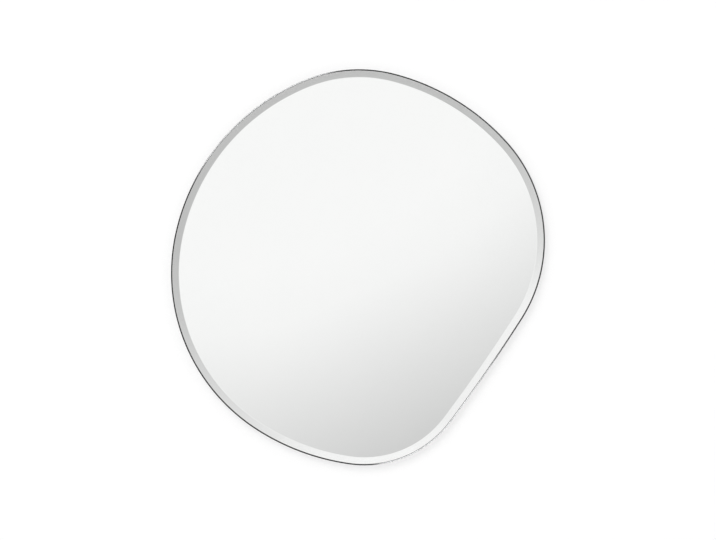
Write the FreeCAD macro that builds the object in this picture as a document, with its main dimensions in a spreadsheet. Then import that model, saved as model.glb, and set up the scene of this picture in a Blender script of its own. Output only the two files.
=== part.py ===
import FreeCAD, Part
import math
import os
import Sketcher

# Wall mirror with a free, pebble-like outline and a ground bevel, held in a thin metal rim.
#
# The frame: X to the right and Z up as seen from the front, -Y towards the viewer.
# The wall is the plane y = 0, and the origin is midway between the two keyholes that hang it.
# Pieces stack up from the wall, so most depths below are distances in front of it (y = -depth).
#
# The outline is a closed chain of eight tangent arcs, run anticlockwise as seen from the front.
# Each arc has a radius and the angle that it turns through. Two radii and one turn aren't free:
# they are what closes the chain. Every other outline (the rim's inner face, the glass, its
# bevel, the board) is parallel to the first one, so it has the same centres and turns.

SIZES = (
    # outline of the rim's outer face
    ("right_centre_x", 64.5),
    ("right_centre_z", -109.0),
    ("first_direction", -32.5),
    ("right_radius", 222.0),
    ("right_turn", 74.5),
    ("upper_right_radius", 346.0),
    ("upper_right_turn", 33.5),
    ("top_radius", 215.0),
    ("top_turn", 36.0),
    ("upper_left_turn", 56.0),
    ("lower_left_radius", 349.0),
    ("lower_left_turn", 25.0),
    ("bottom_radius", 163.0),
    ("bottom_turn", 61.0),
    ("lower_right_radius", 2420.0),
    ("lower_right_turn", 4.5),
    # layers, from the wall to the front
    ("pad_height", 5.0),
    ("board_thickness", 9.0),
    ("tape_thickness", 1.0),
    ("coating_thickness", 0.1),
    ("glass_thickness", 5.0),
    # glass
    ("glass_gap", 0.2),
    ("bevel_width", 10.0),
    ("bevel_drop", 1.6),
    # rim band
    ("rim_wall", 1.8),
    ("rim_wall_clearance", 1.0),
    ("rim_setback", 0.6),
    ("rim_bevel_width", 1.4),
    ("rim_bevel_depth", 1.2),
    ("rim_inner_bevel", 0.2),
    # backing board and the tape on it
    ("board_gap", 1.0),
    ("tape_width", 20.0),
    ("tape_length", 280.0),
    ("tape_spacing", 80.0),
    ("tape_centre_x", -4.5),
    ("tape_centre_z", -145.0),
    # lugs welded inside the rim, behind the board
    ("lug_width", 18.0),
    ("lug_reach", 20.0),
    ("lug_thickness", 1.5),
    ("lug_setback", 0.5),
    ("lug_bend_radius", 0.6),
    ("lug_corner_radius", 4.0),
    # screws, the same for lugs and hangers
    ("screw_radius", 1.75),
    ("screw_length", 8.5),
    ("head_radius", 3.5),
    ("head_height", 2.0),
    ("hole_clearance", 0.35),
    ("pilot_spare_depth", 0.5),
    # keyhole hangers
    ("hanger_spacing", 260.0),
    ("hanger_width", 20.0),
    ("hanger_plate", 1.2),
    ("hanger_wall_clearance", 0.4),
    ("hanger_flange_length", 14.0),
    ("hanger_bend_radius", 0.8),
    ("hanger_corner_radius", 4.0),
    ("keyhole_margin", 4.0),
    ("keyhole_entry_radius", 5.0),
    ("keyhole_slot_radius", 2.5),
    ("keyhole_rise", 10.0),
    # pads that rest on the wall
    ("pad_radius", 7.0),
    ("pad_inset", 30.0),
)

ARCS = ("right", "upper_right", "top", "upper_left", "left", "lower_left", "bottom", "lower_right")
CLOSING_RADII = ("upper_left", "left")
CLOSING_TURN = "left"
FULL_TURN = 360.0

# The sketch that the others read an arc's centre and radius from.
RIM_OUTLINE = "rim_outline"

# A lug sits in the middle of each of these arcs, and a pad where each of the next ones begins.
LUG_ARCS = ("right", "upper_right", "upper_left", "left", "lower_left", "lower_right")
PAD_ARCS = ("upper_right", "left", "lower_left", "lower_right")
TAPE_COUNT = 5

# Depths in front of the wall, as expressions on the sheet.
BOARD_BACK = "Sizes.pad_height"
BOARD_FRONT = BOARD_BACK + " + Sizes.board_thickness"
TAPE_FRONT = BOARD_FRONT + " + Sizes.tape_thickness"
COATING_FRONT = TAPE_FRONT + " + Sizes.coating_thickness"
LUG_BACK = "Sizes.rim_wall_clearance + Sizes.lug_setback"
RIM_DEPTH = COATING_FRONT + " + Sizes.glass_thickness - Sizes.rim_setback - Sizes.rim_wall_clearance"

# How far each outline lies inside the rim's outer face.
RIM_INSET = "Sizes.rim_wall"
GLASS_INSET = "Sizes.rim_wall + Sizes.glass_gap"
BOARD_INSET = "Sizes.rim_wall + Sizes.board_gap"

# A lug's hole is in the middle of the part of its tab that lies inside the flange.
LUG_HOLE_REACH = "(Sizes.lug_thickness + Sizes.lug_reach) / 2"

# The rim's front edge has a wide bevel outside and a small one inside. Neither takes more than
# its share of the wall, so that a flat stays between them.
WIDE_BEVEL_SHARE = 0.8
SMALL_BEVEL_SHARE = 0.15

# The hangers' bends turn 45 degrees, so their two faces are offset by the tangent of half that.
HANGER_BEND_SHIFT = "Sizes.hanger_plate * tan(45 deg / 2)"

# Faces and edges that lie in a plane or along an axis are picked to within this many millimetres.
TOUCH = 1e-4

# Turns a cylinder from +Z to -Y, out of the wall.
TOWARDS_VIEWER = FreeCAD.Rotation(FreeCAD.Vector(1, 0, 0), 90)

document = FreeCAD.newDocument("irregular_mirror")


def add_sheet():
    """The driving dimensions, one row each."""
    sizes = document.addObject("Spreadsheet::Sheet", "Sizes")
    for row, (alias, value) in enumerate(SIZES, start=1):
        sizes.set("A%d" % row, alias.replace("_", " "))
        sizes.set("B%d" % row, str(value))
        sizes.setAlias("B%d" % row, alias)
    document.recompute()
    return sizes


sheet = add_sheet()


# ---------------------------------------------------------------- the outline


class Arc:
    """One arc of an outline: its centre, radius and the directions of its two ends."""

    def __init__(self, name, centre, radius, start, end):
        self.name = name
        self.centre = centre
        self.radius = radius
        self.start = start
        self.end = end


def towards(degrees):
    """Unit vector at this angle from the sketch's first axis."""
    return FreeCAD.Vector(math.cos(math.radians(degrees)), math.sin(math.radians(degrees)), 0)


def outline_arcs():
    """The rim's outer outline, worked out from the sheet in the plane of a sketch."""
    turns = {arc: sheet.get(arc + "_turn") for arc in ARCS if arc != CLOSING_TURN}
    turns[CLOSING_TURN] = FULL_TURN - sum(turns.values())
    directions = [sheet.get("first_direction")]
    for arc in ARCS:
        directions.append(directions[-1] + turns[arc])
    spans = dict(zip(ARCS, zip(directions, directions[1:])))
    steps = {arc: towards(end) - towards(start) for arc, (start, end) in spans.items()}

    # The chain closes when the sum of radius times step is zero, which gives the last two radii.
    radii = {arc: sheet.get(arc + "_radius") for arc in ARCS if arc not in CLOSING_RADII}
    rest = FreeCAD.Vector()
    for arc, radius in radii.items():
        rest -= steps[arc] * radius
    first, second = CLOSING_RADII
    across = steps[first].cross(steps[second]).z
    radii[first] = rest.cross(steps[second]).z / across
    radii[second] = steps[first].cross(rest).z / across

    arcs = []
    centre = FreeCAD.Vector(sheet.get("right_centre_x"), sheet.get("right_centre_z"), 0)
    for arc in ARCS:
        start, end = spans[arc]
        if arcs:
            centre = centre + towards(start) * (arcs[-1].radius - radii[arc])
        arcs.append(Arc(arc, centre, radii[arc], start, end))
    return arcs


def turn_of(arc):
    """The arc's turn in degrees, as an expression on the sheet."""
    if arc != CLOSING_TURN:
        return "Sizes.%s_turn" % arc
    others = ["Sizes.%s_turn" % other for other in ARCS if other != CLOSING_TURN]
    return "(%g - %s)" % (FULL_TURN, " - ".join(others))


def direction_on(arc, share):
    """Direction of the outline's normal at a share of the arc's turn, as an expression."""
    before = ["Sizes.first_direction"] + [turn_of(other) for other in ARCS[:ARCS.index(arc)]]
    return "(%s + %g * %s)" % (" + ".join(before), share, turn_of(arc))


def point_on(arc, share, inset):
    """X and Z, as expressions, of the point `inset` inside the outline at a share of the arc."""
    reading = RIM_OUTLINE + ".Constraints." + arc
    reach = "(%s_radius - (%s) * 1 mm)" % (reading, inset)
    angle = direction_on(arc, share) + " * 1 deg"
    across = "%s_centre_x + %s * cos(%s)" % (reading, reach, angle)
    up = "%s_centre_z + %s * sin(%s)" % (reading, reach, angle)
    return across, up


# ---------------------------------------------------------------- sketches and features


def new_body(name):
    body = document.addObject("PartDesign::Body", name)
    body.Label = name
    return body


def new_sketch(body, name, role, offset):
    """A sketch on one of the body's own origin planes, moved along its normal by an expression."""
    plane = next(feature for feature in body.Origin.OriginFeatures if feature.Role == role)
    sketch = body.newObject("Sketcher::SketchObject", name)
    sketch.AttachmentSupport = (plane, [""])
    sketch.MapMode = "FlatFace"
    sketch.setExpression(".AttachmentOffset.Base.z", offset)
    return sketch


def bind(sketch, name, constraint, expression):
    """Add a driving constraint under a name, with its value bound to an expression."""
    sketch.renameConstraint(sketch.addConstraint(constraint), name)
    sketch.setExpression("Constraints." + name, expression)


def read_out(sketch, name, constraint):
    """Add a constraint that only measures, for other objects to read."""
    index = sketch.addConstraint(constraint)
    sketch.setDriving(index, False)
    sketch.renameConstraint(index, name)


def outline_sketch(body, name, depth, inset):
    """The closed outline lying `inset` inside the rim's outer face, `depth` in front of the wall."""
    sketch = new_sketch(body, name, "XZ_Plane", depth)
    inside = sketch.evalExpression(inset)
    arcs = outline_arcs()
    for arc in arcs:
        circle = Part.Circle(arc.centre, FreeCAD.Vector(0, 0, 1), arc.radius - inside)
        sketch.addGeometry(Part.ArcOfCircle(circle, math.radians(arc.start), math.radians(arc.end)))
    for index in range(len(ARCS)):
        following = (index + 1) % len(ARCS)
        sketch.addConstraint(Sketcher.Constraint("Tangent", index, 2, following, 1))

    first = arcs[0]
    begin = first.centre + towards(first.start) * (first.radius - inside)
    spoke = sketch.addGeometry(Part.LineSegment(first.centre, begin), True)
    sketch.addConstraint(Sketcher.Constraint("Coincident", spoke, 1, 0, 3))
    sketch.addConstraint(Sketcher.Constraint("Coincident", spoke, 2, 0, 1))
    bind(sketch, "start", Sketcher.Constraint("Angle", spoke, math.radians(first.start)),
         "Sizes.first_direction * 1 deg")
    bind(sketch, "across", Sketcher.Constraint("DistanceX", 0, 3, first.centre.x),
         "Sizes.right_centre_x")
    bind(sketch, "up", Sketcher.Constraint("DistanceY", 0, 3, first.centre.y),
         "Sizes.right_centre_z")
    for index, arc in enumerate(arcs):
        if arc.name not in CLOSING_RADII:
            bind(sketch, arc.name + "_bend", Sketcher.Constraint("Radius", index, arc.radius - inside),
                 "Sizes.%s_radius - (%s)" % (arc.name, inset))
        if arc.name != CLOSING_TURN:
            turn = math.radians(arc.end - arc.start)
            bind(sketch, arc.name + "_turn", Sketcher.Constraint("Angle", index, turn),
                 turn_of(arc.name) + " * 1 deg")
    return sketch


def add_readings(sketch):
    """Measure each arc's radius and centre, for the pieces that are placed along the outline."""
    for index, arc in enumerate(outline_arcs()):
        read_out(sketch, arc.name + "_radius", Sketcher.Constraint("Radius", index, arc.radius))
        read_out(sketch, arc.name + "_centre_x",
                 Sketcher.Constraint("DistanceX", index, 3, arc.centre.x))
        read_out(sketch, arc.name + "_centre_z",
                 Sketcher.Constraint("DistanceY", index, 3, arc.centre.y))


def polygon_sketch(body, name, role, offset, corners):
    """A closed polygon whose corners are pairs of expressions."""
    sketch = new_sketch(body, name, role, offset)
    points = []
    for across, up in corners:
        points.append(FreeCAD.Vector(plain(sketch, across), plain(sketch, up), 0))
    for index, point in enumerate(points):
        sketch.addGeometry(Part.LineSegment(point, points[(index + 1) % len(points)]))
    for index, (across, up) in enumerate(corners):
        following = (index + 1) % len(points)
        sketch.addConstraint(Sketcher.Constraint("Coincident", index, 2, following, 1))
        bind(sketch, "x%d" % index, Sketcher.Constraint("DistanceX", index, 1, points[index].x), across)
        bind(sketch, "y%d" % index, Sketcher.Constraint("DistanceY", index, 1, points[index].y), up)
    return sketch


def circle_sketch(body, name, role, offset, across, up, radius):
    """One circle whose centre and radius are expressions."""
    sketch = new_sketch(body, name, role, offset)
    centre = FreeCAD.Vector(plain(sketch, across), plain(sketch, up), 0)
    size = plain(sketch, radius)
    sketch.addGeometry(Part.Circle(centre, FreeCAD.Vector(0, 0, 1), size))
    bind(sketch, "across", Sketcher.Constraint("DistanceX", 0, 3, centre.x), across)
    bind(sketch, "up", Sketcher.Constraint("DistanceY", 0, 3, centre.y), up)
    bind(sketch, "radius", Sketcher.Constraint("Radius", 0, size), radius)
    return sketch


def plain(holder, expression):
    """The expression's value as a number of millimetres or as a plain number."""
    value = holder.evalExpression(expression)
    return getattr(value, "Value", value)


def add_pad(body, name, sketch, length):
    """Material from the sketch along its normal."""
    feature = body.newObject("PartDesign::Pad", name)
    feature.Profile = sketch
    feature.setExpression("Length", length)
    document.recompute()
    return feature


def add_cut(body, name, sketch):
    """A cut through the whole body, both ways from the sketch."""
    feature = body.newObject("PartDesign::Pocket", name)
    feature.Profile = sketch
    feature.Type = "ThroughAll"
    feature.SideType = "Symmetric"
    document.recompute()
    return feature


def add_fillet(body, name, edges, radius):
    base = body.Tip
    feature = body.newObject("PartDesign::Fillet", name)
    feature.Base = (base, edges)
    feature.setExpression("Radius", radius)
    document.recompute()
    return feature


def face_at(shape, y):
    """Name of the flat face that lies in the plane at this y."""
    for index, face in enumerate(shape.Faces, start=1):
        box = face.BoundBox
        if abs(box.YMin - y) < TOUCH and abs(box.YMax - y) < TOUCH:
            return "Face%d" % index
    raise ValueError("no face at y = %g" % y)


def edges_where(shape, test):
    """Names of the edges whose ends and box pass a test."""
    return ["Edge%d" % index for index, edge in enumerate(shape.Edges, start=1) if test(edge)]


def front_edges(shape, y, outside):
    """Names of the edges round the outside, or else round the hole, of the flat face at this y."""
    face = shape.getElement(face_at(shape, y))
    border = [edge for wire in face.Wires if wire.isSame(face.OuterWire) == outside for edge in wire.Edges]
    return edges_where(shape, lambda edge: any(edge.isSame(other) for other in border))


def is_along(edge, axis):
    """Is the edge a straight one along this axis, 0 for X, 1 for Y or 2 for Z?"""
    box = edge.BoundBox
    lengths = [box.XLength, box.YLength, box.ZLength]
    straight = isinstance(edge.Curve, Part.Line)
    return straight and all(length < TOUCH for other, length in enumerate(lengths) if other != axis)


# ---------------------------------------------------------------- rim, glass and board


def make_rim_band():
    """A closed band of flat metal strip, its front edge with a wide bevel outside."""
    body = new_body("rim_band")
    outer = outline_sketch(body, RIM_OUTLINE, "Sizes.rim_wall_clearance", "0")
    add_readings(outer)
    add_pad(body, "rim_solid", outer, RIM_DEPTH)
    inner = outline_sketch(body, "rim_inner_outline", "Sizes.rim_wall_clearance", RIM_INSET)
    add_cut(body, "rim_hollow", inner)
    front = -plain(sheet, "Sizes.rim_wall_clearance + " + RIM_DEPTH)
    band = body.Tip
    wide = body.newObject("PartDesign::Chamfer", "rim_wide_bevel")
    wide.Base = (band, front_edges(band.Shape, front, outside=True))
    wide.ChamferType = "Two distances"
    wide.setExpression("Size", "Sizes.rim_bevel_depth")
    wide.setExpression("Size2", "min(Sizes.rim_bevel_width; %g * Sizes.rim_wall)" % WIDE_BEVEL_SHARE)
    document.recompute()
    small = body.newObject("PartDesign::Chamfer", "rim_small_bevel")
    small.Base = (wide, front_edges(wide.Shape, front, outside=False))
    small.setExpression("Size", "min(Sizes.rim_inner_bevel; %g * Sizes.rim_wall)" % SMALL_BEVEL_SHARE)
    document.recompute()
    return body


def make_glass():
    """Float glass with a wide shallow bevel ground all round its front."""
    body = new_body("mirror_glass")
    outline = outline_sketch(body, "glass_outline", COATING_FRONT, GLASS_INSET)
    add_pad(body, "glass_pane", outline, "Sizes.glass_thickness")
    front = -plain(sheet, COATING_FRONT + " + Sizes.glass_thickness")
    pane = body.Tip
    bevel = body.newObject("PartDesign::Chamfer", "glass_bevel")
    bevel.Base = (pane, [face_at(pane.Shape, front)])
    bevel.ChamferType = "Two distances"
    bevel.FlipDirection = True
    bevel.setExpression("Size", "Sizes.bevel_width")
    bevel.setExpression("Size2", "Sizes.bevel_drop")
    document.recompute()
    return body


def make_coating():
    """The silver and its protective paint, one thin layer on the back of the glass."""
    body = new_body("silver_coating")
    outline = outline_sketch(body, "coating_outline", TAPE_FRONT, GLASS_INSET)
    add_pad(body, "coating_layer", outline, "Sizes.coating_thickness")
    return body


def make_tapes():
    """Upright strips of double-sided foam tape between the board and the coating."""
    tapes = []
    for index in range(TAPE_COUNT):
        tape = document.addObject("Part::Box", "mounting_tape_%d" % (index + 1))
        tape.Label = tape.Name
        tape.setExpression("Length", "Sizes.tape_width")
        tape.setExpression("Width", "Sizes.tape_thickness")
        tape.setExpression("Height", "Sizes.tape_length")
        steps = index - (TAPE_COUNT - 1) / 2
        tape.setExpression(".Placement.Base.x", "Sizes.tape_centre_x + %g * Sizes.tape_spacing"
                           " - Sizes.tape_width / 2" % steps)
        tape.setExpression(".Placement.Base.y", "-(%s)" % TAPE_FRONT)
        tape.setExpression(".Placement.Base.z", "Sizes.tape_centre_z - Sizes.tape_length / 2")
        tapes.append(tape)
    return tapes


def make_board(screw_places):
    """The backing board, drilled with a blind pilot hole for each screw."""
    blank = new_body("board_blank")
    outline = outline_sketch(blank, "board_outline", BOARD_BACK, BOARD_INSET)
    add_pad(blank, "board_plate", outline, "Sizes.board_thickness")
    pilot = document.addObject("Part::Cylinder", "pilot_hole")
    pilot.setExpression("Radius", "Sizes.screw_radius")
    pilot.setExpression("Height", "Sizes.screw_length + Sizes.pilot_spare_depth")
    pilot.Placement = FreeCAD.Placement(FreeCAD.Vector(), TOWARDS_VIEWER)
    pilots = make_group("pilot_holes", pilot, screw_places)
    board = document.addObject("Part::Cut", "backing_board")
    board.Label = board.Name
    board.Base = blank
    board.Tool = pilots
    return board


# ---------------------------------------------------------------- fasteners


def make_group(name, master, places):
    """Copies of one solid at places given as x, y, z expressions, as one group."""
    copies = []
    for index, place in enumerate(places, start=1):
        copy = document.addObject("App::Link", "%s_copy_%d" % (name, index))
        copy.LinkedObject = master
        copy.LinkTransform = True
        for axis, expression in zip("xyz", place):
            copy.setExpression(".Placement.Base." + axis, expression)
        copies.append(copy)
    group = document.addObject("Part::Compound", name)
    group.Label = name
    group.Links = copies
    return group


def turn_profile(body, name, corners):
    """A solid of revolution about Y from a half profile of radius and y expressions."""
    profile = polygon_sketch(body, name + "_profile", "XY_Plane", "0", corners)
    turned = body.newObject("PartDesign::Revolution", name + "_turned")
    turned.Profile = profile
    turned.ReferenceAxis = (profile, ["V_Axis"])
    document.recompute()
    return turned


def make_screw():
    """A flat-topped screw along Y: the head's underside at y = 0 and its end towards -Y."""
    body = new_body("screw")
    turn_profile(body, "screw", (
        ("0", "Sizes.head_height"),
        ("Sizes.head_radius", "Sizes.head_height"),
        ("Sizes.head_radius", "0"),
        ("Sizes.screw_radius", "0"),
        ("Sizes.screw_radius", "-Sizes.screw_length"),
        ("0", "-Sizes.screw_length"),
    ))
    return body


# ---------------------------------------------------------------- lugs, hangers and pads


def make_lug(arc):
    """An angle lug inside the rim: its flange is welded to the band and its tab holds the board.

    It is drawn with the arc's centre at its own origin and its middle along X, then turned."""
    name = "rim_lug_" + arc
    body = new_body(name)
    radius = "%s.Constraints.%s_radius - Sizes.rim_wall * 1 mm" % (RIM_OUTLINE, arc)
    tab = sector_sketch(body, name + "_tab_outline", BOARD_BACK + " - Sizes.lug_thickness",
                        radius, "Sizes.lug_reach * 1 mm")
    add_pad(body, name + "_tab", tab, "Sizes.lug_thickness")
    flange = sector_sketch(body, name + "_flange_outline", LUG_BACK, radius,
                           "Sizes.lug_thickness * 1 mm")
    add_pad(body, name + "_flange", flange, "%s - Sizes.lug_thickness - (%s)" % (BOARD_BACK, LUG_BACK))

    inner_face = plain(sheet, radius) - sheet.get("lug_thickness")
    tab_back = sheet.get("lug_thickness") - sheet.get("pad_height")
    bend = edges_where(body.Shape, lambda edge: is_bend(edge, inner_face, tab_back))
    add_fillet(body, name + "_bend", bend, "Sizes.lug_bend_radius")
    tab_end = plain(sheet, radius) - sheet.get("lug_reach")
    corners = edges_where(body.Shape, lambda edge: is_along(edge, 1)
                          and edge.BoundBox.XMax < tab_end + TOUCH)
    add_fillet(body, name + "_corners", corners, "Sizes.lug_corner_radius")
    hole = circle_sketch(body, name + "_hole_outline", "XZ_Plane", BOARD_BACK,
                         "%s - (%s) * 1 mm" % (radius, LUG_HOLE_REACH), "0",
                         "Sizes.screw_radius + Sizes.hole_clearance")
    add_cut(body, name + "_hole", hole)

    # The turn is about Y. Its angle, and the centre it turns about, come from the outline.
    reading = RIM_OUTLINE + ".Constraints." + arc
    body.Placement = FreeCAD.Placement(FreeCAD.Vector(), FreeCAD.Rotation(FreeCAD.Vector(0, 1, 0), 1))
    body.setExpression(".Placement.Base.x", reading + "_centre_x")
    body.setExpression(".Placement.Base.z", reading + "_centre_z")
    body.setExpression(".Placement.Rotation.Angle", "-" + direction_on(arc, 0.5) + " * 1 deg")
    return body


def is_bend(edge, inner_face, tab_back):
    """Is this the inner corner between a lug's flange and its tab?"""
    box = edge.BoundBox
    level = abs(box.YMin - tab_back) < TOUCH and abs(box.YMax - tab_back) < TOUCH
    return level and abs(box.XMax - inner_face) < TOUCH and box.ZLength > TOUCH


def sector_sketch(body, name, depth, radius, reach):
    """A strip of the lug's width, from an arc about the origin inwards by `reach`."""
    sketch = new_sketch(body, name, "XZ_Plane", depth)
    far = plain(sketch, radius)
    near = far - plain(sketch, reach)
    half = sheet.get("lug_width") / 2
    angle = math.asin(half / far)
    shoulder = math.sqrt(far * far - half * half)
    circle = Part.Circle(FreeCAD.Vector(), FreeCAD.Vector(0, 0, 1), far)
    sketch.addGeometry(Part.ArcOfCircle(circle, -angle, angle))
    corners = (
        FreeCAD.Vector(shoulder, half, 0),
        FreeCAD.Vector(near, half, 0),
        FreeCAD.Vector(near, -half, 0),
        FreeCAD.Vector(shoulder, -half, 0),
    )
    top, end, low = (sketch.addGeometry(Part.LineSegment(*pair)) for pair in zip(corners, corners[1:]))
    sketch.addConstraint(Sketcher.Constraint("Coincident", 0, 3, -1, 1))
    sketch.addConstraint(Sketcher.Constraint("Coincident", 0, 2, top, 1))
    sketch.addConstraint(Sketcher.Constraint("Coincident", top, 2, end, 1))
    sketch.addConstraint(Sketcher.Constraint("Coincident", end, 2, low, 1))
    sketch.addConstraint(Sketcher.Constraint("Coincident", low, 2, 0, 1))
    sketch.addConstraint(Sketcher.Constraint("Horizontal", top))
    sketch.addConstraint(Sketcher.Constraint("Horizontal", low))
    sketch.addConstraint(Sketcher.Constraint("Vertical", end))
    bind(sketch, "outer_radius", Sketcher.Constraint("Radius", 0, far), radius)
    bind(sketch, "end_place", Sketcher.Constraint("DistanceX", end, 1, near),
         "%s - %s" % (radius, reach))
    bind(sketch, "upper_edge", Sketcher.Constraint("DistanceY", end, 1, half), "Sizes.lug_width / 2")
    bind(sketch, "lower_edge", Sketcher.Constraint("DistanceY", end, 2, -half), "-Sizes.lug_width / 2")
    return sketch


def make_hanger(name, side):
    """A pressed keyhole hanger: two flanges on the board and a raised web with the keyhole.

    The keyhole's entry is at the hanger's own origin, in the plane of the wall, and its narrow
    slot rises from it."""
    body = new_body(name)
    web_face = "-Sizes.hanger_wall_clearance"
    web_back = "(-Sizes.hanger_wall_clearance - Sizes.hanger_plate)"
    flange_back = "-Sizes.pad_height"
    flange_face = "(Sizes.hanger_plate - Sizes.pad_height)"
    rise = "(Sizes.pad_height - Sizes.hanger_plate - Sizes.hanger_wall_clearance)"
    low_web = "(-Sizes.keyhole_entry_radius - Sizes.keyhole_margin)"
    high_web = "(Sizes.keyhole_rise + Sizes.keyhole_slot_radius + Sizes.keyhole_margin)"
    low_foot = "(%s - %s)" % (low_web, rise)
    high_foot = "(%s + %s)" % (high_web, rise)
    low_end = "%s - Sizes.hanger_flange_length" % low_foot
    high_end = "%s + Sizes.hanger_flange_length" % high_foot
    corners = (
        (flange_back, low_end),
        (flange_back, "%s + %s" % (low_foot, HANGER_BEND_SHIFT)),
        (web_back, "%s + %s" % (low_web, HANGER_BEND_SHIFT)),
        (web_back, "%s - %s" % (high_web, HANGER_BEND_SHIFT)),
        (flange_back, "%s - %s" % (high_foot, HANGER_BEND_SHIFT)),
        (flange_back, high_end),
        (flange_face, high_end),
        (flange_face, high_foot),
        (web_face, high_web),
        (web_face, low_web),
        (flange_face, low_foot),
        (flange_face, low_end),
    )
    section = polygon_sketch(body, name + "_section", "YZ_Plane", "0", corners)
    strip = add_pad(body, name + "_strip", section, "Sizes.hanger_width")
    strip.SideType = "Symmetric"
    document.recompute()
    round_bends(body, name, low_end, high_end)

    keyhole = keyhole_sketch(body, name + "_keyhole_outline")
    add_cut(body, name + "_keyhole", keyhole)
    for end, height in (("low", screw_height("low")), ("high", screw_height("high"))):
        hole = circle_sketch(body, "%s_%s_hole_outline" % (name, end), "XZ_Plane", "0", "0", height,
                             "Sizes.screw_radius + Sizes.hole_clearance")
        add_cut(body, "%s_%s_hole" % (name, end), hole)
    body.setExpression(".Placement.Base.x", "%d * Sizes.hanger_spacing / 2" % side)
    return body


def screw_height(end):
    """Height of a hanger's lower or upper screw, in the middle of its flange."""
    rise = "Sizes.pad_height - Sizes.hanger_plate - Sizes.hanger_wall_clearance"
    if end == "low":
        return ("-Sizes.keyhole_entry_radius - Sizes.keyhole_margin - (%s)"
                " - Sizes.hanger_flange_length / 2" % rise)
    return ("Sizes.keyhole_rise + Sizes.keyhole_slot_radius + Sizes.keyhole_margin + %s"
            " + Sizes.hanger_flange_length / 2" % rise)


def round_bends(body, name, low_end, high_end):
    """Round the strip's bends, tight inside and a plate's thickness more outside, and its ends."""
    ends = [plain(sheet, low_end), plain(sheet, high_end)]
    web_back = -sheet.get("hanger_wall_clearance") - sheet.get("hanger_plate")
    flange_face = sheet.get("hanger_plate") - sheet.get("pad_height")
    inside = edges_where(body.Shape, lambda edge: is_bend_line(edge, ends, (web_back, flange_face)))
    add_fillet(body, name + "_inner_bends", inside, "Sizes.hanger_bend_radius")
    web_face = -sheet.get("hanger_wall_clearance")
    flange_back = -sheet.get("pad_height")
    outside = edges_where(body.Shape, lambda edge: is_bend_line(edge, ends, (web_face, flange_back)))
    add_fillet(body, name + "_outer_bends", outside, "Sizes.hanger_bend_radius + Sizes.hanger_plate")
    corners = edges_where(body.Shape, lambda edge: is_along(edge, 1) and touches(edge, ends))
    add_fillet(body, name + "_corners", corners, "Sizes.hanger_corner_radius")


def touches(edge, heights):
    """Does the edge lie at one of these heights?"""
    return any(abs(edge.BoundBox.ZMin - height) < TOUCH for height in heights)


def is_bend_line(edge, ends, depths):
    """Is this a bend across the strip, at one of these y values and not at the strip's ends?"""
    at_depth = any(abs(edge.BoundBox.YMin - depth) < TOUCH for depth in depths)
    sharp = is_along(edge, 0) and at_depth and not touches(edge, ends)
    return sharp


def keyhole_sketch(body, name):
    """A round entry with a narrower slot rising from it, its end a half circle."""
    sketch = new_sketch(body, name, "XZ_Plane", "0")
    entry = sheet.get("keyhole_entry_radius")
    slot = sheet.get("keyhole_slot_radius")
    rise = sheet.get("keyhole_rise")
    mouth = math.sqrt(entry * entry - slot * slot)
    turn = math.acos(slot / entry)
    axis = FreeCAD.Vector(0, 0, 1)
    half_circle = Part.Circle(FreeCAD.Vector(0, rise, 0), axis, slot)
    sketch.addGeometry(Part.ArcOfCircle(Part.Circle(FreeCAD.Vector(), axis, entry), math.pi - turn,
                                        2 * math.pi + turn))
    sketch.addGeometry(Part.LineSegment(FreeCAD.Vector(slot, mouth, 0), FreeCAD.Vector(slot, rise, 0)))
    sketch.addGeometry(Part.ArcOfCircle(half_circle, 0, math.pi))
    sketch.addGeometry(Part.LineSegment(FreeCAD.Vector(-slot, rise, 0), FreeCAD.Vector(-slot, mouth, 0)))
    sketch.addConstraint(Sketcher.Constraint("Coincident", 0, 3, -1, 1))
    sketch.addConstraint(Sketcher.Constraint("Coincident", 0, 2, 1, 1))
    sketch.addConstraint(Sketcher.Constraint("Tangent", 1, 2, 2, 1))
    sketch.addConstraint(Sketcher.Constraint("Tangent", 2, 2, 3, 1))
    sketch.addConstraint(Sketcher.Constraint("Coincident", 3, 2, 0, 1))
    sketch.addConstraint(Sketcher.Constraint("Vertical", 1))
    sketch.addConstraint(Sketcher.Constraint("PointOnObject", 2, 3, -2))
    bind(sketch, "entry_radius", Sketcher.Constraint("Radius", 0, entry), "Sizes.keyhole_entry_radius")
    bind(sketch, "slot_radius", Sketcher.Constraint("Radius", 2, slot), "Sizes.keyhole_slot_radius")
    bind(sketch, "rise", Sketcher.Constraint("DistanceY", 2, 3, rise), "Sizes.keyhole_rise")
    return sketch


def make_pad(index, arc):
    """A round rubber pad between the back of the board and the wall."""
    pad = document.addObject("Part::Cylinder", "wall_pad_%d" % index)
    pad.Label = pad.Name
    pad.setExpression("Radius", "Sizes.pad_radius")
    pad.setExpression("Height", "Sizes.pad_height")
    pad.Placement = FreeCAD.Placement(FreeCAD.Vector(), TOWARDS_VIEWER)
    across, up = point_on(arc, 0, "Sizes.pad_inset")
    pad.setExpression(".Placement.Base.x", across)
    pad.setExpression(".Placement.Base.z", up)
    return pad


def lug_screw_places():
    """Under each lug screw's head, on the back of its tab."""
    places = []
    for arc in LUG_ARCS:
        across, up = point_on(arc, 0.5, "Sizes.rim_wall + " + LUG_HOLE_REACH)
        places.append((across, "Sizes.lug_thickness - Sizes.pad_height", up))
    return places


def hanger_screw_places():
    """Under each hanger screw's head, on the back of its flange."""
    places = []
    for side in (-1, 1):
        for end in ("low", "high"):
            places.append(("%d * Sizes.hanger_spacing / 2" % side,
                           "Sizes.hanger_plate - Sizes.pad_height", screw_height(end)))
    return places


# ---------------------------------------------------------------- the assembly


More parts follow.
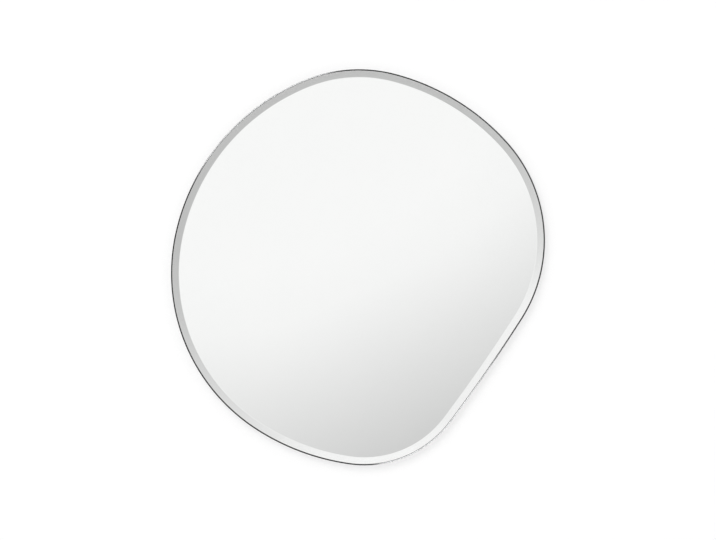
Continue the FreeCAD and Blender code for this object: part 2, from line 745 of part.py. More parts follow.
def make_all():
    """Every piece of the mirror, in the order in which it is put together."""
    rim = make_rim_band()
    lugs = [make_lug(arc) for arc in LUG_ARCS]
    board = make_board(lug_screw_places() + hanger_screw_places())
    screw = make_screw()
    lug_screws = make_group("lug_screws", screw, lug_screw_places())
    hanger_screws = make_group("hanger_screws", screw, hanger_screw_places())
    hangers = [make_hanger("hanger_left", -1), make_hanger("hanger_right", 1)]
    pads = [make_pad(index, arc) for index, arc in enumerate(PAD_ARCS, start=1)]
    glass = [make_glass(), make_coating()]
    return [rim] + lugs + [board, lug_screws, hanger_screws] + hangers + pads + glass + make_tapes()


def check(pieces):
    """Stop if any object failed or any piece's shape is missing or not valid."""
    failed = [thing.Name for thing in document.Objects
              if "Invalid" in thing.State or "Error" in thing.State]
    failed += [piece.Label for piece in pieces if piece.Shape.isNull() or not piece.Shape.isValid()]
    if failed:
        raise RuntimeError("these failed: " + ", ".join(failed))


def write(pieces):
    """One file for each piece, named by its label."""
    os.makedirs("parts", exist_ok=True)
    for piece in pieces:
        piece.Shape.exportStep("parts/%s.step" % piece.Label)


mirror_pieces = make_all()
document.recompute()
check(mirror_pieces)
write(mirror_pieces)
for made in mirror_pieces:
    print("%-20s %2d solids %12.1f mm3" % (made.Label, len(made.Shape.Solids), made.Shape.Volume))
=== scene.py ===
import math
import random

import bmesh
import bpy
from mathutils import Matrix, Vector


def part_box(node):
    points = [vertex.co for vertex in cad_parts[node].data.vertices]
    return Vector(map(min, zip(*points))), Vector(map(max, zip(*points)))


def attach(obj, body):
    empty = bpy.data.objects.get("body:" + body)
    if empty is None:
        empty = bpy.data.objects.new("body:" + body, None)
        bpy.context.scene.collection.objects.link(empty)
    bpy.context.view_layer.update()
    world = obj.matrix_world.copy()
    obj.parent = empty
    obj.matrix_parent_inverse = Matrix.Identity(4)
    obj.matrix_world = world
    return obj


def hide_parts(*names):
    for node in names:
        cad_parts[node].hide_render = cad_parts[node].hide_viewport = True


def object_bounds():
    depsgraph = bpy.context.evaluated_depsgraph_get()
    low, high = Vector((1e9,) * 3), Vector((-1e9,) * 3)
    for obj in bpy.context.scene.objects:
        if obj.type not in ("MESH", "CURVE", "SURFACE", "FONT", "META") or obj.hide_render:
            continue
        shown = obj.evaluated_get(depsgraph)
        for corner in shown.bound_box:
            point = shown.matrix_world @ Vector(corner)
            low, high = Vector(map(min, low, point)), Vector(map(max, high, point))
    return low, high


# The looks of a wall mirror with a free outline, a ground bevel and a thin dark polished rim.
#
# Metres. +X is to the right and +Z up as seen from the front, -Y is towards the viewer, and the
# wall is the plane y = 0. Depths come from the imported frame. The outline is worked out again
# from its arcs, so that the glass and the rim are finer than the frame's own facets.

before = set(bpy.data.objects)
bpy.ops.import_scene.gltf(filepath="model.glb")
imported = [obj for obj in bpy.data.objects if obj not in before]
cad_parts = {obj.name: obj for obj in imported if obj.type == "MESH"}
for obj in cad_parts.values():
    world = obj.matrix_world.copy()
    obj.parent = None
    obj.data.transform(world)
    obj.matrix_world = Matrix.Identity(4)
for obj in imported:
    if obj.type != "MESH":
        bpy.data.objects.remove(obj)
cad_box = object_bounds()

ROOT = "root"
MM = 0.001
TINY = 1e-6
FORWARD = Vector((0, -1, 0))
UP = Vector((0, 0, 1))

# ---------------------------------------------------------------- the outline

# The rim's outer face, a closed chain of tangent arcs, anticlockwise as seen from the front.
# Each arc is its radius and its turn in degrees. What is None closes the chain.
FIRST_CENTRE = Vector((64.5 * MM, -109 * MM))
FIRST_DIRECTION = -32.5
ARCS = (
    (222 * MM, 74.5),
    (346 * MM, 33.5),
    (215 * MM, 36.0),
    (None, 56.0),
    (None, None),
    (349 * MM, 25.0),
    (163 * MM, 61.0),
    (2420 * MM, 4.5),
)
RIM_WALL = 1.8 * MM
GLASS_GAP = 0.2 * MM
POINT_SPACING = 3 * MM


def towards(degrees):
    """Unit vector in the plane of the wall, this far anticlockwise from +X."""
    return Vector((math.cos(math.radians(degrees)), math.sin(math.radians(degrees))))


def closed_chain():
    """Each arc's centre, radius and first and last direction, with the missing values worked out."""
    turns = [turn for radius, turn in ARCS]
    turns[turns.index(None)] = 360 - sum(turn for turn in turns if turn is not None)
    directions = [FIRST_DIRECTION]
    for turn in turns:
        directions.append(directions[-1] + turn)
    steps = [towards(end) - towards(start) for start, end in zip(directions, directions[1:])]
    radii = [radius for radius, turn in ARCS]
    first, second = [index for index, radius in enumerate(radii) if radius is None]
    rest = Vector((0, 0))
    for radius, step in zip(radii, steps):
        if radius is not None:
            rest -= radius * step
    across = steps[first].cross(steps[second])
    radii[first] = rest.cross(steps[second]) / across
    radii[second] = steps[first].cross(rest) / across

    chain = []
    centre = FIRST_CENTRE
    for index, radius in enumerate(radii):
        if index:
            centre = centre + towards(directions[index]) * (radii[index - 1] - radius)
        chain.append((centre, radius, directions[index], directions[index + 1]))
    return chain


CHAIN = closed_chain()


def outline(inset):
    """Points of the outline lying this far inside the rim's outer face, in the plane of the wall."""
    points = []
    for centre, radius, start, end in CHAIN:
        count = round(radius * math.radians(end - start) / POINT_SPACING)
        for index in range(count):
            angle = start + (end - start) * index / count
            points.append(centre + (radius - inset) * towards(angle))
    return points


# ---------------------------------------------------------------- meshes

# Edges that turn by more than this stay sharp. The rim's roundings turn by less at each step.
SHARP_ANGLE = math.radians(8.5)
ROUNDING_STEP = math.radians(7.5)

# Turned pieces have coarser steps, of up to 19 degrees, and only their real edges turn by more.
TURNED_SHARP_ANGLE = math.radians(27)


def add_object(name, mesh_data, material, sharp_angle=SHARP_ANGLE):
    """Finish a bmesh as a piece of the object: smooth but for its sharp edges."""
    bmesh.ops.recalc_face_normals(mesh_data, faces=mesh_data.faces[:])
    mesh = bpy.data.meshes.new(name)
    mesh_data.to_mesh(mesh)
    mesh_data.free()
    mesh.polygons.foreach_set("use_smooth", [True] * len(mesh.polygons))
    mesh.set_sharp_from_angle(angle=sharp_angle)
    mesh.materials.append(material)
    piece = bpy.data.objects.new(name, mesh)
    bpy.context.scene.collection.objects.link(piece)
    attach(piece, ROOT)
    return piece


def bridge(mesh_data, rings, closed):
    """Quads between each ring of vertices and the next."""
    following = rings[1:] + rings[:1] if closed else rings[1:]
    for ring, other in zip(rings, following):
        for index in range(len(ring)):
            after = (index + 1) % len(ring)
            mesh_data.faces.new((ring[index], ring[after], other[after], other[index]))


def swept(profile, closed):
    """A solid whose section, points of inset and y, runs all round the outline.

    A closed section makes a band. An open one makes a plate with flat ends."""
    mesh_data = bmesh.new()
    rings = []
    for inset, y in profile:
        rings.append([mesh_data.verts.new((x, y, z)) for x, z in outline(inset)])
    bridge(mesh_data, rings, closed)
    if not closed:
        mesh_data.faces.new(rings[0])
        mesh_data.faces.new(rings[-1])
    return mesh_data


def rounded(corners):
    """A closed profile from corners of (inset, y, radius), each rounded by its radius."""
    profile = []
    for index, (inset, y, radius) in enumerate(corners):
        corner = Vector((inset, y))
        before = (Vector(corners[index - 1][:2]) - corner).normalized()
        after = (Vector(corners[(index + 1) % len(corners)][:2]) - corner).normalized()
        opening = before.angle(after)
        centre = corner + (before + after).normalized() * radius / math.sin(opening / 2)
        reach = radius / math.tan(opening / 2)
        start = corner + before * reach - centre
        turn = math.pi - opening
        if before.cross(after) > 0:
            turn = -turn
        steps = max(1, math.ceil(abs(turn) / ROUNDING_STEP))
        for step in range(steps + 1):
            spoke = Matrix.Rotation(turn * step / steps, 2) @ start
            profile.append(tuple(centre + spoke))
    return profile


# ---------------------------------------------------------------- shader graphs

# Nearly all of a noise lies between these.
NOISE_RANGE = (0.3, 0.7)


class Graph:
    """A material's nodes, with short ways to make the usual ones."""

    def __init__(self, name):
        self.material = bpy.data.materials.new(name)
        self.material.use_nodes = True
        self.tree = self.material.node_tree
        self.shader = self.tree.nodes["Principled BSDF"]
        self.place = self.tree.nodes.new("ShaderNodeTexCoord").outputs["Object"]

    def link(self, output, socket):
        """Join a node's output to another node's socket."""
        self.tree.links.new(output, socket)

    def set(self, **values):
        """Plain values on the Principled shader, by socket name with _ for a space."""
        for name, value in values.items():
            self.shader.inputs[name.replace("_", " ")].default_value = value

    def stretched(self, scale):
        """The object's own coordinates, scaled by a factor for each axis."""
        node = self.tree.nodes.new("ShaderNodeVectorMath")
        node.operation = "MULTIPLY"
        self.link(self.place, node.inputs[0])
        node.inputs[1].default_value = scale
        return node.outputs["Vector"]

    def noise(self, size, detail=3.0, place=None):
        """Noise whose lumps are about this many metres across, from 0 to 1."""
        node = self.tree.nodes.new("ShaderNodeTexNoise")
        self.link(place or self.place, node.inputs["Vector"])
        node.inputs["Scale"].default_value = 1 / size
        node.inputs["Detail"].default_value = detail
        return node.outputs["Fac"]

    def cells(self, size):
        """Distance from the middle of cells this many metres across."""
        node = self.tree.nodes.new("ShaderNodeTexVoronoi")
        self.link(self.place, node.inputs["Vector"])
        node.inputs["Scale"].default_value = 1 / size
        return node.outputs["Distance"]

    def remap(self, value, *limits):
        """A value taken from one range, low and high, to another."""
        node = self.tree.nodes.new("ShaderNodeMapRange")
        self.link(value, node.inputs["Value"])
        for name, number in zip(("From Min", "From Max", "To Min", "To Max"), limits):
            node.inputs[name].default_value = number
        return node.outputs["Result"]

    def blend(self, factor, first, second):
        """From the first colour to the second as the factor goes from 0 to 1."""
        node = self.tree.nodes.new("ShaderNodeMix")
        node.data_type = "RGBA"
        self.link(factor, node.inputs["Factor"])
        for socket, colour in ((node.inputs["A"], first), (node.inputs["B"], second)):
            if isinstance(colour, tuple):
                socket.default_value = (*colour, 1)
            else:
                self.link(colour, socket)
        return node.outputs["Result"]

    def bump(self, height, depth):
        """Raise the surface by up to this many metres."""
        node = self.tree.nodes.new("ShaderNodeBump")
        self.link(height, node.inputs["Height"])
        node.inputs["Distance"].default_value = depth
        self.link(node.outputs["Normal"], self.shader.inputs["Normal"])

    def mix_shaders(self, factor, first, second):
        """From the first shader to the second as the factor goes from 0 to 1."""
        node = self.tree.nodes.new("ShaderNodeMixShader")
        for socket, output in zip(node.inputs, (factor, first, second)):
            self.link(output, socket)
        return node.outputs[0]

    def colour(self, output):
        """Take the base colour from an output."""
        self.link(output, self.shader.inputs["Base Color"])

    def roughness(self, output):
        """Take the roughness from an output."""
        self.link(output, self.shader.inputs["Roughness"])


def glass_material():
    """Clear float glass, very slightly wavy."""
    graph = Graph("float_glass")
    graph.set(Base_Color=(0.994, 0.998, 0.996, 1), Roughness=0.0, IOR=1.52, Transmission_Weight=1.0)
    graph.bump(graph.noise(60 * MM, 1.0), 0.002 * MM)
    return graph.material


def silver_material():
    """Silver on the back of the glass, a trace uneven in tone."""
    graph = Graph("silvering")
    graph.set(Metallic=1.0, Roughness=0.0)
    graph.colour(graph.blend(graph.noise(90 * MM), (0.93, 0.935, 0.93), (0.945, 0.945, 0.94)))
    return graph.material


def backing_paint_material():
    """The grey paint that protects the silver."""
    graph = Graph("backing_paint")
    graph.colour(graph.blend(graph.noise(3 * MM), (0.25, 0.27, 0.28), (0.31, 0.33, 0.34)))
    graph.set(Roughness=0.55)
    graph.bump(graph.noise(0.6 * MM), 0.02 * MM)
    return graph.material


def rim_material():
    """Dark plating, finely brushed along the band."""
    graph = Graph("dark_chrome")
    graph.set(Metallic=1.0)
    marks = graph.noise(1.2 * MM, 4.0, graph.stretched((0.08, 1.0, 0.08)))
    graph.colour(graph.blend(graph.noise(25 * MM), (0.050, 0.050, 0.050), (0.060, 0.060, 0.061)))
    graph.roughness(graph.remap(marks, *NOISE_RANGE, 0.18, 0.25))
    graph.bump(marks, 0.0005 * MM)
    return graph.material


def board_material():
    """Fibreboard: a black painted back with a fine texture, and bare fibre along the cut edge."""
    graph = Graph("painted_fibreboard")
    facing = graph.tree.nodes.new("ShaderNodeNewGeometry")
    split = graph.tree.nodes.new("ShaderNodeSeparateXYZ")
    graph.link(facing.outputs["Normal"], split.inputs["Vector"])
    painted = graph.remap(split.outputs["Y"], 0.4, 0.6, 0.0, 1.0)
    speckle = graph.noise(0.7 * MM, 5.0)
    paint = graph.blend(graph.noise(40 * MM), (0.026, 0.026, 0.027), (0.036, 0.036, 0.037))
    fibre = graph.blend(speckle, (0.20, 0.135, 0.085), (0.40, 0.29, 0.19))
    graph.colour(graph.blend(painted, fibre, paint))
    graph.roughness(graph.remap(graph.noise(8 * MM), *NOISE_RANGE, 0.42, 0.56))
    graph.bump(speckle, 0.05 * MM)
    return graph.material


def lug_material():
    """Thin black coating on bent steel."""
    graph = Graph("black_coating")
    graph.colour(graph.blend(graph.noise(4 * MM), (0.05, 0.05, 0.052), (0.08, 0.08, 0.082)))
    graph.roughness(graph.remap(graph.noise(1.5 * MM), *NOISE_RANGE, 0.28, 0.42))
    graph.bump(graph.noise(0.5 * MM), 0.012 * MM)
    return graph.material


def zinc_material(name, size):
    """Bright zinc plating: a patchy shine and a faint warm and cool tint."""
    graph = Graph(name)
    graph.set(Metallic=1.0)
    graph.colour(graph.blend(graph.noise(size), (0.47, 0.49, 0.52), (0.62, 0.61, 0.57)))
    graph.roughness(graph.remap(graph.noise(size / 3, 5.0), *NOISE_RANGE, 0.18, 0.34))
    graph.bump(graph.noise(size / 12), 0.01 * MM)
    return graph.material


def rubber_material():
    """Matt black rubber with a fine grain."""
    graph = Graph("black_rubber")
    graph.colour(graph.blend(graph.noise(2 * MM), (0.022, 0.022, 0.022), (0.034, 0.034, 0.035)))
    graph.set(Roughness=0.7)
    graph.bump(graph.noise(0.35 * MM, 5.0), 0.04 * MM)
    return graph.material


def foam_material():
    """White closed-cell foam."""
    graph = Graph("white_foam")
    cells = graph.cells(0.5 * MM)
    graph.colour(graph.blend(cells, (0.82, 0.82, 0.80), (0.70, 0.70, 0.68)))
    graph.set(Roughness=0.8)
    graph.bump(cells, 0.05 * MM)
    return graph.material


# ---------------------------------------------------------------- glass, silver and rim

BEVEL_WIDTH = 10 * MM
BEVEL_DROP = 1.6 * MM
ARRIS = 0.2 * MM

# The rim's outer bevel is a little flatter than half a right angle, so that from the front it
# shows what stands beside the mirror just clear of the wall.
RIM_BEVEL_WIDTH = 1.4 * MM
RIM_BEVEL_DEPTH = 1.2 * MM
RIM_ROUNDING = 0.12 * MM

# The silver's front sits this far inside the glass, so that no ray meets both at one place.
SILVER_BITE = 0.02 * MM
SILVER_MARGIN = 0.05 * MM


def make_glass(material):
    """The pane: polished edge, a narrow arris and the wide shallow bevel."""
    low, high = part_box("mirror_glass")
    back, front = high.y, low.y
    edge = RIM_WALL + GLASS_GAP
    shoulder = front + BEVEL_DROP
    piece = add_object("glass", swept((
        (edge, back),
        (edge, shoulder + ARRIS),
        (edge + ARRIS, shoulder - ARRIS * BEVEL_DROP / BEVEL_WIDTH),
        (edge + BEVEL_WIDTH, front),
    ), closed=False), material)
    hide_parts("mirror_glass")


def make_silver(silver, paint):
    """The silver, with its protective paint on the side away from the glass."""
    low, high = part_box("silver_coating")
    edge = RIM_WALL + GLASS_GAP + SILVER_MARGIN
    piece = add_object("silver", swept((
        (edge, high.y),
        (edge, low.y - SILVER_BITE),
    ), closed=False), silver)
    piece.data.materials.append(paint)
    for face in piece.data.polygons:
        faces_wall = face.normal.dot(FORWARD) < -0.5
        face.material_index = int(faces_wall)
    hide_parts("silver_coating")


def make_rim(material):
    """The band: a wide bevel outside, then a narrow flat, with all its edges slightly rounded."""
    low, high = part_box("rim_band")
    back, front = high.y, low.y
    piece = add_object("rim", swept(rounded((
        (0, back, RIM_ROUNDING),
        (0, front + RIM_BEVEL_DEPTH, RIM_ROUNDING),
        (RIM_BEVEL_WIDTH, front, RIM_ROUNDING),
        (RIM_WALL, front, RIM_ROUNDING),
        (RIM_WALL, back, RIM_ROUNDING),
    )), closed=True), material)
    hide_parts("rim_band")


# ---------------------------------------------------------------- screws and pads

CROSS_REACH = 1.9 * MM
CROSS_HALF_WIDTH = 0.42 * MM
CROSS_DEPTH = 1.0 * MM
CROSS_TAPER = 0.6
HEAD_RADIUS = 3.5 * MM
HEAD_HEIGHT = 2.0 * MM
HEAD_FLAT_RADIUS = 2.3 * MM
HEAD_ROUNDING_HEIGHT = 0.9 * MM
HEAD_EDGE = 0.12 * MM
SHANK_RADIUS = 1.75 * MM
THREAD_ROOT_RADIUS = 1.3 * MM
THREAD_PITCH = 0.8 * MM
TIP_LENGTH = 2.0 * MM
TIP_RADIUS = 0.1 * MM

# A quarter of a turn in degrees, with a step at each side of a cross's arm.
ARM_ANGLE = math.degrees(math.atan(CROSS_HALF_WIDTH / CROSS_REACH))
QUARTER = (0, ARM_ANGLE, 23, 34, 45, 56, 67, 90 - ARM_ANGLE)
TURN = [quarter * 90 + step for quarter in range(4) for step in QUARTER]

# A rounded edge is a quarter of a circle or of an ellipse, in this many steps.
EDGE_STEPS = 6


def quarter_round():
    """Sine and cosine of the steps of a rounded edge, from 0 to 90 degrees."""
    angles = [math.radians(90 * step / EDGE_STEPS) for step in range(EDGE_STEPS + 1)]
    return [(math.sin(angle), math.cos(angle)) for angle in angles]


def round_ring(radius):
    """The same radius at all steps of the turn."""
    return [radius] * len(TURN)


def cross_ring(scale):
    """Radii of a cross's border at the steps of the turn."""
    radii = []
    for angle in TURN:
        off_arm = math.radians(abs((angle + 45) % 90 - 45))
        along_arm = CROSS_REACH / math.cos(off_arm)
        beside_arm = CROSS_HALF_WIDTH / max(math.sin(off_arm), TINY)
        radii.append(scale * min(along_arm, beside_arm))
    return radii


def add_turned(mesh_data, place, rings, turn=0.0):
    """A solid round an axis along Y at a place in x and z. Each ring is its y and its radii."""
    solid = []
    for y, radii in rings:
        points = [place + towards(angle + turn) * radius for angle, radius in zip(TURN, radii)]
        solid.append([mesh_data.verts.new((x, y, z)) for x, z in points])
    bridge(mesh_data, solid, closed=False)
    mesh_data.faces.new(solid[0])
    mesh_data.faces.new(solid[-1])


def middles(name):
    """Middle in x and z of each separate solid in a node of the frame."""
    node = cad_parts[name]
    mesh_data = bmesh.new()
    mesh_data.from_mesh(node.data)
    mesh_data.transform(node.matrix_world)
    bmesh.ops.remove_doubles(mesh_data, verts=mesh_data.verts[:], dist=0.001 * MM)
    found = []
    left = set(mesh_data.verts)
    while left:
        solid = [left.pop()]
        for vert in solid:
            for edge in vert.link_edges:
                other = edge.other_vert(vert)
                if other in left:
                    left.remove(other)
                    solid.append(other)
        xs = [vert.co.x for vert in solid]
        zs = [vert.co.z for vert in solid]
        found.append(((min(xs) + max(xs)) / 2, (min(zs) + max(zs)) / 2))
    mesh_data.free()
    return [Vector(place) for place in sorted(found)]


def screw_rings(tip, top):
    """A pan-head screw from its tip to the flat top of its head, with a cross recess."""
    seat = top - HEAD_HEIGHT
    rings = [(tip, round_ring(TIP_RADIUS))]
    threads = round((seat - tip - TIP_LENGTH) / THREAD_PITCH)
    start = seat - threads * THREAD_PITCH
    for index in range(threads):
        y = start + index * THREAD_PITCH
        rings.append((y, round_ring(THREAD_ROOT_RADIUS)))
        rings.append((y + THREAD_PITCH / 2, round_ring(SHANK_RADIUS)))
    rings.append((seat, round_ring(THREAD_ROOT_RADIUS)))
    rings.append((seat, round_ring(HEAD_RADIUS - HEAD_EDGE)))
    rings.append((seat + HEAD_EDGE, round_ring(HEAD_RADIUS)))
    for sine, cosine in quarter_round():
        radius = HEAD_FLAT_RADIUS + (HEAD_RADIUS - HEAD_FLAT_RADIUS) * cosine
        rings.append((top - HEAD_ROUNDING_HEIGHT * (1 - sine), round_ring(radius)))
    rings.append((top, cross_ring(1.0)))
    rings.append((top - CROSS_DEPTH, cross_ring(CROSS_TAPER)))
    return rings


def make_screws(node, material, chance):
    """All screws of a node, each turned as it happened to be tightened."""
    low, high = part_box(node)
    mesh_data = bmesh.new()
    for place in middles(node):
        add_turned(mesh_data, place, screw_rings(low.y, high.y), chance.uniform(0, 90))
    piece = add_object(node + "_looks", mesh_data, material, TURNED_SHARP_ANGLE)
    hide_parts(node)


PAD_ROUNDING = 0.9 * MM
PAD_DIMPLE_RADIUS = 2.4 * MM
PAD_DIMPLE_DEPTH = 0.7 * MM
PAD_DIMPLE_TAPER = 0.7


def make_pad(node, material):
    """A moulded rubber disc, rounded towards the wall, with a dimple in its middle."""
    low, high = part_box(node)
    radius = (high.x - low.x) / 2
    rings = [(low.y, round_ring(radius))]
    for sine, cosine in quarter_round():
        inset = PAD_ROUNDING * (1 - cosine)
        rings.append((high.y - PAD_ROUNDING * (1 - sine), round_ring(radius - inset)))
    rings.append((high.y, round_ring(PAD_DIMPLE_RADIUS)))
    rings.append((high.y - PAD_DIMPLE_DEPTH, round_ring(PAD_DIMPLE_RADIUS * PAD_DIMPLE_TAPER)))
    mesh_data = bmesh.new()
    add_turned(mesh_data, Vector(((low.x + high.x) / 2, (low.z + high.z) / 2)), rings)
    piece = add_object(node + "_looks", mesh_data, material, TURNED_SHARP_ANGLE)
    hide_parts(node)


def dress(nodes, material):
    """Give a material to CAD nodes that show as they are."""
    for name in nodes:
        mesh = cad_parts[name].data
        mesh.materials.clear()
        mesh.materials.append(material)


# ---------------------------------------------------------------- stage

WALL_RADIUS = 3.0
WALL_DEPTH = 0.5 * MM
WALL_HOLE_INSET = 1 * MM
FLOOR_HEIGHT = -1.6
FLOOR_RADIUS = 3.5
FLOOR_SIDES = 96

# How much of what the camera sees of the stage is its own light and shade. The rest is plain white.
STAGE_SHADING = 0.31
WALL_TONE = 0.98
FLOOR_TONE = 0.7


def stage_material(name, tone):
    """Matt paint that shows from its front side only, so that it never hides the back."""
    graph = Graph(name)
    graph.set(Base_Color=(tone, tone, tone, 1), Roughness=0.9, Specular_IOR_Level=0.0)
    nodes = graph.tree.nodes
    white = nodes.new("ShaderNodeEmission")
    white.inputs["Strength"].default_value = 1.0
    rays = nodes.new("ShaderNodeLightPath")
    share = graph.remap(rays.outputs["Is Camera Ray"], 0, 1, 0, 1 - STAGE_SHADING)
    clear = nodes.new("ShaderNodeBsdfTransparent")
    side = nodes.new("ShaderNodeNewGeometry")
    lit = graph.mix_shaders(share, graph.shader.outputs[0], white.outputs[0])
    seen = graph.mix_shaders(side.outputs["Backfacing"], lit, clear.outputs[0])
    graph.link(seen, nodes["Material Output"].inputs["Surface"])
    return graph.material


def make_stage():
    """A wall behind the mirror, open where the mirror covers it, and a floor below."""
    wall = bmesh.new()
    inner = outline(WALL_HOLE_INSET)
    middle = sum(inner, Vector((0, 0))) / len(inner)
    rim = [wall.verts.new((x, WALL_DEPTH, z)) for x, z in inner]
    outer = []
    for point in inner:
        x, z = middle + (point - middle).normalized() * WALL_RADIUS
        outer.append(wall.verts.new((x, WALL_DEPTH, z)))
    bridge(wall, [rim, outer], closed=False)
    floor = bmesh.new()
    bmesh.ops.create_circle(floor, cap_ends=True, segments=FLOOR_SIDES, radius=FLOOR_RADIUS,
                            matrix=Matrix.Translation((0, 0, FLOOR_HEIGHT)))
    for name, mesh_data, tone, out in (
        ("stage_wall", wall, WALL_TONE, FORWARD),
        ("stage_floor", floor, FLOOR_TONE, UP),
    ):
        for face in mesh_data.faces:
            face.normal_update()
            if face.normal.dot(out) < 0:
                face.normal_flip()
        mesh = bpy.data.meshes.new(name)
        mesh_data.to_mesh(mesh)
        mesh_data.free()
        mesh.materials.append(stage_material(name, tone))
        thing = bpy.data.objects.new(name, mesh)
        bpy.context.scene.collection.objects.link(thing)


# ---------------------------------------------------------------- lamps


def add_lamp(name, place, aim, up, size, power):
    """A soft rectangular lamp at a place. It faces its aim, with its height along up."""
    data = bpy.data.lights.new(name, "AREA")
    data.shape = "RECTANGLE"
    data.size, data.size_y = size
    data.energy = power
    lamp = bpy.data.objects.new(name, data)
    back = (place - aim).normalized()
    side = up.cross(back).normalized()
    turn = Matrix((side, back.cross(side), back)).transposed()
    lamp.matrix_world = Matrix.Translation(place) @ turn.to_4x4()
    lamp.visible_camera = False
    bpy.context.scene.collection.objects.link(lamp)
    return lamp


# The middle of the mirror, which all lamps face.
MIDDLE = Vector((4.5 * MM, 0, -150 * MM))

# The key's distance, its direction as seen from the front, and its angle off the mirror's axis.
KEY_DISTANCE = 4.5
KEY_DIRECTION = 123
KEY_OFF_AXIS = 26
KEY_SIZE = (2.0, 2.0)
KEY_POWER = 92

# The strips begin this share of their distance in front of the wall, where the rim's outer bevel
# shows them to the front and its side, seen from beside, just misses them.
STRIP_RISE = 0.08
STRIP_DEPTH = 0.4

# Name, distance, direction from the mirror's middle, length and power.
STRIPS = (
    ("strip_upper_left", 2.0, 125.0, 1.70, 50),
    ("strip_lower_right", 1.1, 301.5, 0.97, 32),
)


def beside(direction, distance):
    """A place this far from the mirror's middle, in the plane of the wall."""
    side = towards(direction) * distance
    return MIDDLE + Vector((side.x, 0, side.y))


def make_lights():
    """One soft key that isn't seen in the glass, and two strips beside the wall that only gloss shows."""
    lean = math.radians(KEY_OFF_AXIS)
    key = beside(KEY_DIRECTION, KEY_DISTANCE * math.sin(lean)) + FORWARD * KEY_DISTANCE * math.cos(lean)
    lamp = add_lamp("key", key, MIDDLE, UP, KEY_SIZE, KEY_POWER)
    lamp.visible_glossy = False
    lamp.visible_transmission = False
    for name, distance, direction, length, power in STRIPS:
        lift = FORWARD * (distance * STRIP_RISE + STRIP_DEPTH / 2)
        place = beside(direction, distance) + lift
        strip = add_lamp(name, place, MIDDLE + lift, FORWARD, (length, STRIP_DEPTH), power)
        strip.visible_diffuse = False


# ---------------------------------------------------------------- world

# The studio in front of the mirror: a soft bright panel with round corners. Its long side lies this
# far anticlockwise from +X. Its middle is in the same turned directions, as sines of angles. It is
# this many times longer than wide, and a squareness of 2 would make it an ellipse.
PANEL_TURN = 26.7
PANEL_MIDDLE = (0.004, 0.0645)
PANEL_NARROWING = 1.06
PANEL_SQUARENESS = 3

# Distance from the panel's middle, and how bright the studio is there.
STUDIO_LEVELS = ((0.06, 0.998), (0.075, 0.972), (0.085, 0.915), (0.105, 0.78), (0.13, 0.615), (0.15, 0.55),
                 (0.45, 0.542), (0.8, 0.88))

# The room behind goes from one level to the other between these heights, as sines of angles. The
# studio has turned into it at this sine of the angle behind the plane of the wall.
BACK_LEVELS = (0.35, 1.1)
BACK_HEIGHTS = (-0.8, 0.8)
BACK_START = 0.5


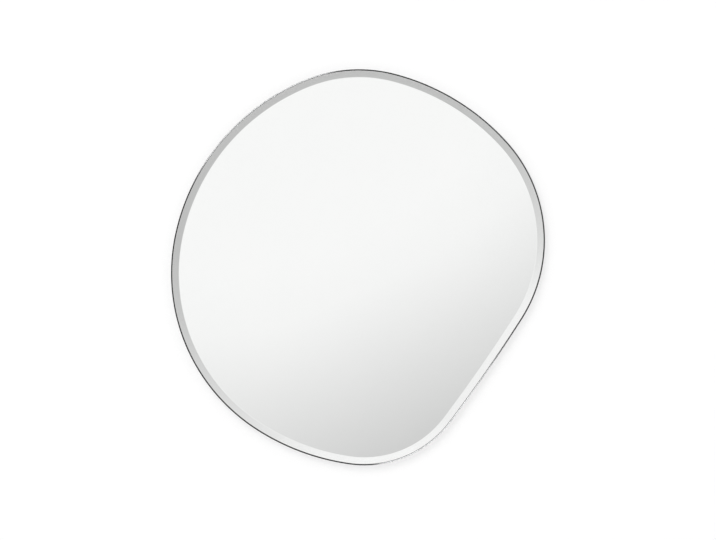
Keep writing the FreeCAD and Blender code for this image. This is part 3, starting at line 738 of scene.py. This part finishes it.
def make_world():
    """White for the camera. Elsewhere a soft studio, brightest just above and left of the front."""
    world = bpy.data.worlds.new("studio")
    bpy.context.scene.world = world
    world.use_nodes = True
    nodes = world.node_tree.nodes
    link = world.node_tree.links.new

    def add(kind, inputs, **settings):
        """A node with its first inputs linked or set to plain values."""
        node = nodes.new(kind)
        for name, value in settings.items():
            setattr(node, name, value)
        for socket, value in zip(node.inputs, inputs):
            if isinstance(value, bpy.types.NodeSocket):
                link(value, socket)
            else:
                socket.default_value = value
        return node

    def vector(operation, *inputs):
        return add("ShaderNodeVectorMath", inputs, operation=operation)

    place = add("ShaderNodeTexCoord", ()).outputs["Generated"]
    along, across = towards(PANEL_TURN), towards(PANEL_TURN + 90) * PANEL_NARROWING
    turned = add("ShaderNodeCombineXYZ", [
        vector("DOT_PRODUCT", place, (side.x, 0, side.y)).outputs["Value"] for side in (along, across)])
    middle = (PANEL_MIDDLE[0], PANEL_MIDDLE[1] * PANEL_NARROWING, 0)
    apart = vector("ABSOLUTE", vector("SUBTRACT", turned.outputs[0], middle).outputs[0]).outputs[0]
    powers = vector("POWER", apart, (PANEL_SQUARENESS,) * 3).outputs[0]
    total = vector("DOT_PRODUCT", powers, (1, 1, 0)).outputs["Value"]
    distance = add("ShaderNodeMath", (total, 1 / PANEL_SQUARENESS), operation="POWER").outputs[0]
    ramp = add("ShaderNodeValToRGB", (distance,))
    stops = ramp.color_ramp.elements
    while len(stops) < len(STUDIO_LEVELS):
        stops.new(0.5)
    for stop, (position, level) in zip(stops, STUDIO_LEVELS):
        stop.position = position
        stop.color = (level, level, level, 1)

    split = add("ShaderNodeSeparateXYZ", (place,))
    behind = add("ShaderNodeMapRange", (split.outputs["Y"], 0, BACK_START, 0, 1)).outputs["Result"]
    room = add("ShaderNodeMapRange", (split.outputs["Z"], *BACK_HEIGHTS, *BACK_LEVELS)).outputs["Result"]
    seen_by_camera = add("ShaderNodeLightPath", ()).outputs["Is Camera Ray"]
    seen = ramp.outputs["Color"]
    for factor, level in ((behind, room), (seen_by_camera, (1, 1, 1, 1))):
        mix = add("ShaderNodeMix", (), data_type="RGBA")
        for name, value in (("Factor", factor), ("A", seen), ("B", level)):
            if isinstance(value, bpy.types.NodeSocket):
                link(value, mix.inputs[name])
            else:
                mix.inputs[name].default_value = value
        seen = mix.outputs["Result"]
    link(seen, nodes["Background"].inputs["Color"])


# ---------------------------------------------------------------- camera

# What the picture's width spans at the mirror's front.
PICTURE_WIDTH_PX = 716
MM_PER_PX = 1.5118
SEEN_WIDTH = PICTURE_WIDTH_PX * MM_PER_PX * MM
CAMERA_DISTANCE = 5.36
SENSOR_WIDTH = 36.0
AIM_X = 3.74 * MM
AIM_Z = -153.8 * MM


def make_camera():
    """Straight on from the front, far off and with a long lens."""
    data = bpy.data.cameras.new("camera")
    data.sensor_width = SENSOR_WIDTH
    data.lens = SENSOR_WIDTH * CAMERA_DISTANCE / SEEN_WIDTH
    camera = bpy.data.objects.new("camera", data)
    camera.location = (AIM_X, cad_box[0][1] - CAMERA_DISTANCE, AIM_Z)
    camera.rotation_euler = (math.radians(90), 0, 0)
    bpy.context.scene.collection.objects.link(camera)
    bpy.context.scene.camera = camera


# ---------------------------------------------------------------- the assembly

SCREW_SEED = 7

make_glass(glass_material())
make_silver(silver_material(), backing_paint_material())
make_rim(rim_material())
names = sorted(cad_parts)
dress([name for name in names if name.startswith("rim_lug")], lug_material())
dress(["backing_board"], board_material())
dress(["hanger_left", "hanger_right"], zinc_material("hanger_zinc", 6 * MM))
chance = random.Random(SCREW_SEED)
screw_zinc = zinc_material("screw_zinc", 2 * MM)
make_screws("lug_screws", screw_zinc, chance)
make_screws("hanger_screws", screw_zinc, chance)
rubber = rubber_material()
for name in names:
    if name.startswith("wall_pad"):
        make_pad(name, rubber)
dress([name for name in names if name.startswith("mounting_tape")], foam_material())

make_stage()
make_lights()
make_world()
make_camera()
bpy.context.scene.view_settings.view_transform = "Standard"

bpy.context.view_layer.update()
